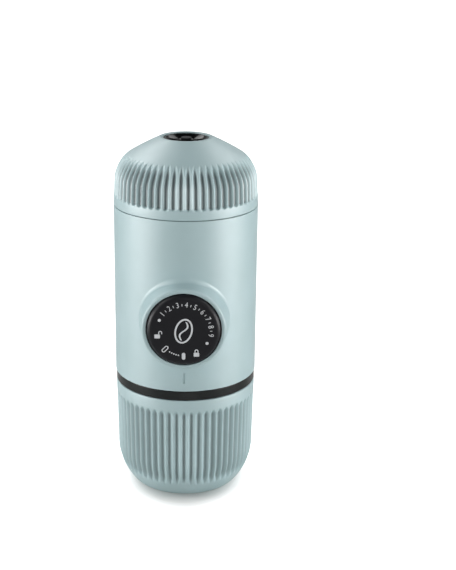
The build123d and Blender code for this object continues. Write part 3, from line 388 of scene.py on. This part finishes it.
def press_grooves(shell, count, reach, shade_strength):
    """Sinks count upright grooves into a shell's outside, as far as reach(radius, height) lets them.

    Shade strength is how much painted shade darkens a groove's paint colour at full depth, standing in for
    the shade that falls in it.
    """
    shell.normal_update()
    share = shell.verts.layers.float.new("groove_share")
    moves = []
    for vert in shell.verts:
        if vert.normal.xy.dot(vert.co.xy) <= 0:
            continue
        turn = math.atan2(vert.co.y, vert.co.x) * count / math.tau
        wave = abs(math.cos(math.pi * turn)) ** (2 * groove_narrowing)
        room = reach(math.hypot(vert.co.x, vert.co.y) / mm, vert.co.z / mm) - groove_depth * (1 - wave)
        soft = min(max(room + groove_blend, 0), 2 * groove_blend)
        cut = max(room, soft**2 / (4 * groove_blend))
        # the share of painted groove shade at this point
        vert[share] = shade_strength * min(cut / groove_depth, 1)
        moves.append((vert, vert.normal * cut * mm))
    for vert, move in moves:
        vert.co -= move


def keep_piece(shape, name, body, material, stands_for=(), crease=smooth_up_to):
    """Makes an object of a bmesh, shaded smooth up to the crease angle, and puts it on its body."""
    mesh = bpy.data.meshes.new(name)
    shape.to_mesh(mesh)
    shape.free()
    mesh.materials.append(material)
    mesh.shade_smooth()
    mesh.set_sharp_from_angle(angle=math.radians(crease))
    piece = bpy.data.objects.new(name, mesh)
    bpy.context.scene.collection.objects.link(piece)
    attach(piece, body)
    if stands_for:
        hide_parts(*stands_for)
    return piece


def run_out(share):
    """Depth of a groove, in mm, where it runs out on a rounding: none at share 0, full from share 1."""
    share = min(share, 1)
    return groove_depth * ((1 + groove_end_dip) * share * (2 - share) - groove_end_dip)


def cup_wall_radius(height):
    """Outer radius of the cup's straight wall, in mm."""
    rise = (height - cup_round_height) / (cup_height - cup_round_height)
    return cup_low_radius + rise * (cup_rim_radius - cup_low_radius)


def cup_groove_reach(radius, height):
    """How deep the cup's grooves go at a point of its wall, in mm. They follow its rounding."""
    if height < cup_round_height:
        return run_out((height - cup_groove_end) / (cup_groove_low - cup_groove_end))
    over = max(height - cup_groove_top, 0) / cup_groove_runout
    return radius - cup_wall_radius(height) + groove_depth * (1 - over**2)


cup_wall_low = (cup_wall_radius(cup_straight_low), cup_straight_low)
cup_runout_low = (cup_wall_radius(cup_groove_top), cup_groove_top)
cup_runout_high = (cup_wall_radius(cup_plain_wall), cup_plain_wall)
cup_shape = lathe(half_section([
    (0, 0),
    (cup_foot_radius, 0, cup_foot_rounding, 4),
    (cup_low_radius, cup_round_corner, cup_round_radius, 26),
    *run(cup_wall_low, cup_runout_low, 12),
    *run(cup_runout_low, cup_runout_high, 14)[1:],
    (cup_rim_radius, cup_height, cup_rim_rounding, 4),
    (cup_rim_radius - cup_rim_wall, cup_height, cup_rim_rounding, 4),
    (cup_inner_radius, cup_round_height),
    (cup_inner_radius, cup_inner_round_corner, cup_inner_round_radius, 14),
    (cup_inner_floor_radius, cup_floor, cup_inner_floor_rounding, 4),
    (0, cup_floor),
], closed=False), cup_groove_count)
press_grooves(cup_shape, cup_groove_count, cup_groove_reach, cup_groove_painted_shade)
keep_piece(cup_shape, "ribbed_cup", "cup", shell_paint, ["cup"])

# ---------------------------------------------------------------------------------
# Portafilter: glass-filled black nylon, moulded in a spark-eroded tool, which leaves a
# fine even grain and a satin face. Its flange is the dark band over the cup. The
# spout, the scoop, and the two wells in the case are moulded the same way.
# ---------------------------------------------------------------------------------
spark_grain = 0.35 * mm
spark_depth = 0.010 * mm
flow_marks = 9 * mm         # how far apart a moulding's faint dull and bright patches lie
roughness_drift = 0.04


def moulded_plastic(name, hex_colour, roughness, grain, depth, sheen=0.5):
    """A moulded plastic: a grain in its face, and a roughness that drifts a little.

    The grain is drawn coarser than the real one, so that it shows.
    """
    material, tree, output = new_material(name)
    place = add_node(tree, "ShaderNodeTexCoord")
    pits = add_node(tree, "ShaderNodeTexNoise", {"Scale": 1 / grain, "Detail": 2.0}, {
        "Vector": (place, "Object"),
    })
    bump = add_node(tree, "ShaderNodeBump", {"Strength": 1.0, "Distance": depth}, {
        "Height": (pits, "Fac"),
    })
    flow = add_node(tree, "ShaderNodeTexNoise", {"Scale": 1 / flow_marks, "Detail": 2.0}, {
        "Vector": (place, "Object"),
    })
    satin = add_node(tree, "ShaderNodeMapRange", {
        "To Min": roughness - roughness_drift,
        "To Max": roughness + roughness_drift,
    }, {"Value": (flow, "Fac")})
    skin = add_node(tree, "ShaderNodeBsdfPrincipled", {
        "Base Color": linear(hex_colour),
        "Specular IOR Level": sheen,
    }, {
        "Roughness": (satin, "Result"),
        "Normal": (bump, "Normal"),
    })
    tree.links.new(skin.outputs["BSDF"], output.inputs["Surface"])
    return material


def dress(material, *names):
    """Gives construction nodes their material."""
    for name in names:
        mesh = nodes[name].data
        mesh.materials.clear()
        mesh.materials.append(material)


black_nylon = moulded_plastic(
    "spark_grained_black_nylon", "040c0c", roughness=0.25, grain=spark_grain, depth=spark_depth
)
dress(black_nylon, "portafilter", "outlet_nozzle", "coffee_scoop", "tank_deck", "brew_head")

# ---------------------------------------------------------------------------------
# Seals: rings, gaskets and the air valve, moulded in black silicone and laid in their
# grooves. Silicone is matte, and a trace of talc lightens it a little.
# ---------------------------------------------------------------------------------
silicone = moulded_plastic(
    "moulded_black_silicone", "26282a", roughness=0.62, grain=0.5 * mm, depth=0.008 * mm
)
dress(silicone, "cup_grip_ring", "brew_gasket", "tank_seal", "vent_valve")
dress(silicone, "inlet_o_ring", "outlet_o_ring", "piston_seal")

# ---------------------------------------------------------------------------------
# Basket, shower screen, liner, balls and screws: stainless steel, deep drawn or turned.
# The tool leaves fine lines, round the drawn parts and along the small ones. They are
# drawn here 0.4 mm apart so that they show.
# ---------------------------------------------------------------------------------
tool_line = 0.4 * mm
line_polish = 0.05          # a line's floor is this much smoother than the metal's mean
line_haze = 0.07            # and its ridge this much duller


def worked_metal(name, hex_colour, roughness, line_depth, squeeze):
    """A metal with fine tool lines. They run along the axes whose squeeze is well under 1."""
    material, tree, output = new_material(name)
    place = add_node(tree, "ShaderNodeTexCoord")
    lines = add_node(tree, "ShaderNodeMapping", {"Scale": squeeze}, {"Vector": (place, "Object")})
    scratch = add_node(tree, "ShaderNodeTexNoise", {"Scale": 1 / tool_line, "Detail": 3.0}, {
        "Vector": (lines, "Vector"),
    })
    bump = add_node(tree, "ShaderNodeBump", {"Strength": 1.0, "Distance": line_depth}, {
        "Height": (scratch, "Fac"),
    })
    polish = add_node(tree, "ShaderNodeMapRange", {
        "To Min": roughness - line_polish,
        "To Max": roughness + line_haze,
    }, {"Value": (scratch, "Fac")})
    skin = add_node(tree, "ShaderNodeBsdfPrincipled", {
        "Base Color": linear(hex_colour),
        "Metallic": 1.0,
    }, {
        "Roughness": (polish, "Result"),
        "Normal": (bump, "Normal"),
    })
    tree.links.new(skin.outputs["BSDF"], output.inputs["Surface"])
    return material


drawn_steel = worked_metal(
    "drawn_stainless_steel", "cbcac6", roughness=0.24, line_depth=0.004 * mm, squeeze=(0.12, 0.12, 1.0)
)
dress(drawn_steel, "filter_basket", "shower_screen", "cylinder_liner")
turned_steel = worked_metal(
    "turned_stainless_steel", "c4c4c2", roughness=0.18, line_depth=0.002 * mm, squeeze=(1.0, 1.0, 0.3)
)
dress(turned_steel, "deck_screws", "brew_head_screws", "screen_screw")
dress(turned_steel, "inlet_valve_ball", "outlet_valve_ball")

# ---------------------------------------------------------------------------------
# Case: the painted ABS shell that carries the dial's collar. It is moulded in one
# piece, and wears the same paint as the cup.
# ---------------------------------------------------------------------------------
dress(shell_paint, "main_case")

# ---------------------------------------------------------------------------------
# Pump: frame and piston rod are moulded in grey nylon, which its glass fibres leave dull,
# and bush, lock ring and strainer in waxy white acetal. The valve seats are turned from
# bright brass, and the springs are wound from drawn wire.
# ---------------------------------------------------------------------------------
grey_nylon = moulded_plastic(
    "glass_filled_grey_nylon", "484b4e", roughness=0.5, grain=0.45 * mm, depth=0.012 * mm
)
dress(grey_nylon, "pump_frame", "piston_rod")
white_acetal = moulded_plastic(
    "moulded_white_acetal", "e2e1dc", roughness=0.34, grain=0.5 * mm, depth=0.004 * mm
)
dress(white_acetal, "guide_bush", "lock_ring", "inlet_strainer")
turned_brass = worked_metal(
    "turned_brass", "c9a35a", roughness=0.22, line_depth=0.003 * mm, squeeze=(1.0, 1.0, 0.2)
)
dress(turned_brass, "inlet_valve_seat", "outlet_valve_seat")
spring_wire = worked_metal(
    "drawn_spring_wire", "a9a9a8", roughness=0.26, line_depth=0.001 * mm, squeeze=(1.0, 1.0, 1.0)
)
dress(spring_wire, "rod_clip")

return_spring_turns = 7
return_spring_wire = 0.55 * mm
valve_spring_turns = 4
valve_spring_wire = 0.25 * mm


def turn_shape(shape, angle, axis):
    """Turns a bmesh about an axis through the origin."""
    bmesh.ops.rotate(shape, verts=shape.verts, matrix=Matrix.Rotation(angle, 3, axis))


def shift_shape(shape, x, y, z):
    """Moves a bmesh, in metres."""
    bmesh.ops.translate(shape, verts=shape.verts, vec=(x, y, z))


def wind_spring(turns, length, outer_radius, wire, steps=48):
    """A coil of round wire about Z that stands on Z = 0, with so many steps to a turn.

    Wire is the wire's radius, and all lengths are in metres.
    """
    coil = bmesh.new()
    bmesh.ops.create_circle(coil, segments=12, radius=wire, cap_ends=False)
    turn_shape(coil, quarter_turn, "X")
    shift_shape(coil, outer_radius - wire, 0, wire)
    bmesh.ops.spin(
        coil,
        geom=coil.verts[:] + coil.edges[:],
        axis=(0, 0, 1),
        dvec=(0, 0, (length - 2 * wire) / (turns * steps)),
        angle=math.tau * turns,
        steps=turns * steps,
        use_merge=False,
    )
    bmesh.ops.holes_fill(coil, edges=coil.edges)
    bmesh.ops.recalc_face_normals(coil, faces=coil.faces)
    return coil


low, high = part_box("piston_spring")
return_spring = wind_spring(return_spring_turns, high.y - low.y, high.x, return_spring_wire)
turn_shape(return_spring, quarter_turn, "X")
shift_shape(return_spring, 0, high.y, (low.z + high.z) / 2)
keep_piece(return_spring, "dial_return_spring", "main_body", spring_wire, ["piston_spring"])

for valve in ("inlet", "outlet"):
    node = valve + "_valve_spring"
    low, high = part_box(node)
    coil = wind_spring(valve_spring_turns, high.z - low.z, high.x, valve_spring_wire)
    shift_shape(coil, 0, (low.y + high.y) / 2, low.z)
    piece = keep_piece(coil, valve + "_ball_spring", "main_body", spring_wire, [node])
    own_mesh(piece)

# ---------------------------------------------------------------------------------
# Dial: the piston's knob. The sleeve is moulded black, and the cap is polycarbonate
# with a soft gloss lacquer, so its rounded edge picks up the softboxes as dim bands.
# ---------------------------------------------------------------------------------
dress(black_nylon, "knob_sleeve")
lacquer_peel = 0.6 * mm
lacquer_peel_height = 0.002 * mm
dial_black = moulded_plastic(
    "soft_gloss_lacquer_on_polycarbonate",
    "0e0e14",
    roughness=0.40,
    grain=lacquer_peel,
    depth=lacquer_peel_height,
    sheen=0.35,
)
dress(dial_black, "dial_cap")

# ---------------------------------------------------------------------------------
# Dial print: pale grey ink, pad printed on the cap and a hair proud of it. The filled
# oblong means locked, the open one unlocked, and the dots show the way between them.
# Plain numbers, two padlocks and a coffee bean fill the rest.
# ---------------------------------------------------------------------------------
dial_ink = moulded_plastic(
    "pad_printed_grey_ink", "d2d5d8", roughness=0.55, grain=0.3 * mm, depth=0.003 * mm
)
cap_low, cap_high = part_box("dial_cap")
dial_face = cap_low.y
dial_height = (cap_low.z + cap_high.z) / 2
ink_height = 0.03 * mm
ink_smooth_up_to = 20

# Marks stand on circles round the dial's middle, at degrees clockwise from its top. Each
# has its width and its length and, where it is open inside, the width of its line.
mark_circle = 11.0 * mm
locked_turn = 180
locked_mark = (1.5 * mm, 3.1 * mm)
unlocked_turn = 224
unlocked_mark = (1.7 * mm, 3.4 * mm, 0.38 * mm)
divider_turns = (118.5, 295)
divider_dot = (1.3 * mm, 1.31 * mm)
travel_circle = 10.8 * mm
travel_dot = (0.6 * mm, 0.606 * mm)
travel_dots = 5
travel_start = 191.5
travel_step = 5.2

closed_lock_turn = 151
open_lock_turn = 261
lock_width = 2.3 * mm
lock_height = 1.75 * mm
lock_rounding = 0.35 * mm
lock_drop = 0.65 * mm       # the lock's body below the middle of its mark
shackle = (1.6 * mm, 2.9 * mm, 0.36 * mm)
shackle_rise = 0.22 * mm
open_shackle_aside = 1.25 * mm
open_shackle_rise = 0.12 * mm

number_circle = 11.3 * mm
number_start = -50
number_step = 18.6
number_size = 3.3 * mm
number_narrowing = 0.82
last_number = 9
tick = (0.3 * mm, 1.0 * mm)

bean_half_width = 3.7 * mm
bean_half_length = 5.5 * mm
bean_stroke = 0.72 * mm
bean_crease_sway = 1.15 * mm
bean_crease_reach = 4.15 * mm
bean_tilt = math.radians(14)


def lay_on_dial(shape, radius=0.0, turn=0.0):
    """Stands a flat shape on the dial's face, turn degrees clockwise from the top, feet inwards."""
    shift_shape(shape, 0, radius, 0)
    turn_shape(shape, -math.radians(turn), "Z")
    turn_shape(shape, quarter_turn, "X")
    shift_shape(shape, 0, dial_face, dial_height)
    return shape


def add_shape(whole, part):
    """Puts one bmesh into another."""
    carrier = bpy.data.meshes.new("carrier")
    part.to_mesh(carrier)
    part.free()
    whole.from_mesh(carrier)
    bpy.data.meshes.remove(carrier)


def ink(shape, name):
    """Gives a flat print its thickness and fixes it to the knob."""
    raised = bmesh.ops.extrude_face_region(shape, geom=shape.faces[:])["geom"]
    lifted = [item for item in raised if isinstance(item, bmesh.types.BMVert)]
    bmesh.ops.translate(shape, verts=lifted, vec=(0, -ink_height, 0))
    bmesh.ops.recalc_face_normals(shape, faces=shape.faces)
    keep_piece(shape, name, "knob", dial_ink, crease=ink_smooth_up_to)


def keep_rim(shape, stroke):
    """Takes the middle out of a flat shape, and leaves a rim as wide as the stroke."""
    middle = shape.faces[:]
    bmesh.ops.inset_region(shape, faces=middle, thickness=stroke, use_boundary=True, use_even_offset=True)
    bmesh.ops.delete(shape, geom=middle, context="FACES")


def oblong(width, length, stroke=None):
    """A flat round-ended bar along Y, open in the middle if it has a stroke. All in metres."""
    bar = bmesh.new()
    bmesh.ops.create_circle(bar, segments=28, radius=width / 2, cap_ends=True)
    for vert in bar.verts:
        vert.co.y += math.copysign((length - width) / 2, vert.co.y)
    if stroke:
        keep_rim(bar, stroke)
    return bar


def rectangle(width, height, rows=1):
    """A flat rectangle in the XY plane, with its middle at the origin. In metres."""
    flat = bmesh.new()
    bmesh.ops.create_grid(flat, x_segments=1, y_segments=rows, size=0.5)
    bmesh.ops.scale(flat, verts=flat.verts, vec=(width, height, 1))
    return flat


lock_marks = lay_on_dial(oblong(*locked_mark), mark_circle, locked_turn)
add_shape(lock_marks, lay_on_dial(oblong(*unlocked_mark), mark_circle, unlocked_turn))
for spot in range(travel_dots):
    turn = travel_start + travel_step * spot
    add_shape(lock_marks, lay_on_dial(oblong(*travel_dot), travel_circle, turn))
for turn in divider_turns:
    add_shape(lock_marks, lay_on_dial(oblong(*divider_dot), mark_circle, turn))
ink(lock_marks, "lock_marks")


def padlock(opened, turn):
    """A small padlock that stands upright at turn: a rounded body, and a shackle, aside when open."""
    lock = rectangle(lock_width, lock_height)
    shift_shape(lock, 0, -lock_drop, 0)
    round_corners(lock, lock.verts[:], lock_rounding, 4)
    bow = oblong(*shackle)
    everything = bow.verts[:] + bow.edges[:] + bow.faces[:]
    bmesh.ops.bisect_plane(bow, geom=everything, plane_co=(0, 0, 0), plane_no=(0, 1, 0), clear_inner=True)
    if opened:
        shift_shape(bow, open_shackle_aside, open_shackle_rise, 0)
    shift_shape(bow, 0, shackle_rise, 0)
    add_shape(lock, bow)
    turn_shape(lock, math.radians(turn), "Z")
    return lay_on_dial(lock, mark_circle, turn)


lock_icons = padlock(False, closed_lock_turn)
add_shape(lock_icons, padlock(True, open_lock_turn))
ink(lock_icons, "lock_icons")


def digit_shape(number):
    """A flat digit, narrowed a little, with its middle at the origin."""
    lettering = bpy.data.curves.new("number", "FONT")
    lettering.body = str(number)
    lettering.size = number_size
    lettering.align_x = "CENTER"
    lettering.align_y = "CENTER"
    sign = bpy.data.objects.new("number", lettering)
    flat = bpy.data.meshes.new_from_object(sign)
    digit = bmesh.new()
    digit.from_mesh(flat)
    bpy.data.meshes.remove(flat)
    bpy.data.objects.remove(sign)
    bmesh.ops.remove_doubles(digit, verts=digit.verts, dist=merge_distance)
    bmesh.ops.scale(digit, verts=digit.verts, vec=(number_narrowing, 1, 1))
    return digit


numbers = bmesh.new()
for number in range(1, last_number + 1):
    turn = number_start + number_step * (number - 1)
    add_shape(numbers, lay_on_dial(digit_shape(number), number_circle, turn))
    if number < last_number:
        add_shape(numbers, lay_on_dial(oblong(*tick), number_circle, turn + number_step / 2))
ink(numbers, "dial_numbers")

bean = bmesh.new()
bmesh.ops.create_circle(bean, segments=72, radius=1, cap_ends=True)
bmesh.ops.scale(bean, verts=bean.verts, vec=(bean_half_width, bean_half_length, 1))
keep_rim(bean, bean_stroke)
bean_crease = rectangle(bean_stroke, 2 * bean_crease_reach, rows=26)
for vert in bean_crease.verts:
    vert.co.x += bean_crease_sway * math.sin(math.pi * vert.co.y / bean_crease_reach)
add_shape(bean, bean_crease)
turn_shape(bean, -bean_tilt, "Z")
ink(lay_on_dial(bean), "bean_emblem")

# ---------------------------------------------------------------------------------
# Tank: painted ABS like the cup, with sixty-two finger grooves that fade out over its
# shoulder. Three quick-thread ridges stand out from its spigot.
# ---------------------------------------------------------------------------------
tank_low = 127.25
tank_low_radius = 31.0
tank_edge_rounding = 0.25
tank_wall_top = (30.2, 145.3)       # the wall's corner with the crown, before its rounding
tank_shoulder_radius = 12.9
crown_low = 138.25                  # where the shoulder's rounding starts
crown_bend = (17.98, 152.97)        # the crown's slope eases here, towards the mouth
crown_radius = 100
tank_top = 156.0
mouth_outer_radius = 11.2
mouth_outer_rounding = 0.4
mouth_radius = 9.85
mouth_inner_rounding = 0.35
vent_ledge = 152.8                  # the vent insert stands on it
vent_bore = 7.6
vent_boss_low = 150.6
vent_boss = (13.5, 152.23)          # the boss under the vent meets the crown's inner face here
tank_inner_radius = 28.12
tank_inner_corner = 144.66
tank_inner_rounding = 10.6
tank_inner_low = 131.85
spigot_inner_radius = 25.2
spigot_inner_top = 129.55
spigot_radius = 26.6
spigot_low = 115.4
spigot_rounding = 0.3

tank_groove_count = 62
tank_groove_low = 132.3             # grooves are at full depth down to here
tank_groove_runout = 1.2            # and get shallower over this height
tank_plain_wall = 130.6             # the wall is plain from here down
tank_rows_low = 132.8               # the mesh has close rows up to here
tank_rows_high = 137.6              # and wider ones up to here
tank_groove_high = 144.2            # grooves are at full depth up to here
tank_groove_end = 149.0             # and have run out here
# how much painted shade shows deep in the tank's grooves
tank_groove_painted_shade = 1.0

thread_starts = 3
thread_low = 116.775
thread_start = math.radians(-63)
thread_sweep = math.radians(75)
thread_lead = 20.0
thread_steps = 30
thread_width = 1.25
thread_height = 1.4
thread_root = 0.4                   # how far a ridge reaches into the spigot's wall
thread_middle = spigot_radius + thread_width / 2 - thread_root


def tank_wall(height):
    """(radius, height) of a point on the tank's straight wall, in mm."""
    rise = (height - tank_low) / (tank_wall_top[1] - tank_low)
    return tank_low_radius + rise * (tank_wall_top[0] - tank_low_radius), height


def tank_groove_reach(radius, height):
    """How deep the tank's grooves go at a point of its wall, in mm. They follow its shoulder."""
    if height > crown_low:
        return run_out((tank_groove_end - height) / (tank_groove_end - tank_groove_high))
    under = max(tank_groove_low - height, 0) / tank_groove_runout
    return radius - tank_wall(height)[0] + groove_depth * (1 - under**2)


tank_shape = lathe(half_section([
    (tank_low_radius, tank_low, tank_edge_rounding, 4),
    *run(tank_wall(tank_plain_wall), tank_wall(tank_rows_low), 11),
    *run(tank_wall(tank_rows_low), tank_wall(tank_rows_high), 5)[1:],
    (*tank_wall_top, tank_shoulder_radius, 28),
    (*crown_bend, crown_radius, 6),
    (mouth_outer_radius, tank_top, mouth_outer_rounding, 4),
    (mouth_radius, tank_top, mouth_inner_rounding, 4),
    (mouth_radius, vent_ledge),
    (vent_bore, vent_ledge),
    (vent_bore, vent_boss_low),
    (vent_boss[0], vent_boss_low),
    vent_boss,
    (tank_inner_radius, tank_inner_corner, tank_inner_rounding, 12),
    (tank_inner_radius, tank_inner_low),
    (spigot_inner_radius, spigot_inner_top),
    (spigot_inner_radius, spigot_low),
    (spigot_radius, spigot_low, spigot_rounding, 3),
    (spigot_radius, tank_low),
]), tank_groove_count)
press_grooves(tank_shape, tank_groove_count, tank_groove_reach, tank_groove_painted_shade)
for start in range(thread_starts):
    ridge = rectangle(thread_width * mm, thread_height * mm)
    turn_shape(ridge, quarter_turn, "X")
    shift_shape(ridge, thread_middle * mm, 0, thread_low * mm)
    turn_shape(ridge, thread_start + start * math.tau / thread_starts, "Z")
    bmesh.ops.spin(
        ridge,
        geom=ridge.verts[:] + ridge.edges[:] + ridge.faces[:],
        axis=(0, 0, 1),
        dvec=(0, 0, thread_lead * thread_sweep / math.tau / thread_steps * mm),
        angle=thread_sweep,
        steps=thread_steps,
        use_merge=False,
    )
    bmesh.ops.recalc_face_normals(ridge, faces=ridge.faces)
    add_shape(tank_shape, ridge)
keep_piece(tank_shape, "ribbed_tank", "tank", shell_paint, ["water_tank"])

# ---------------------------------------------------------------------------------
# Air vent in the tank's top: a gloss black ABS insert with spokes round a button,
# pressed into the mouth. Its mould is polished, so only a faint long ripple is left.
# ---------------------------------------------------------------------------------
gloss_black = moulded_plastic(
    "gloss_black_abs", "08090a", roughness=0.14, grain=0.8 * mm, depth=0.001 * mm, sheen=0.22
)
dress(gloss_black, "vent_insert")
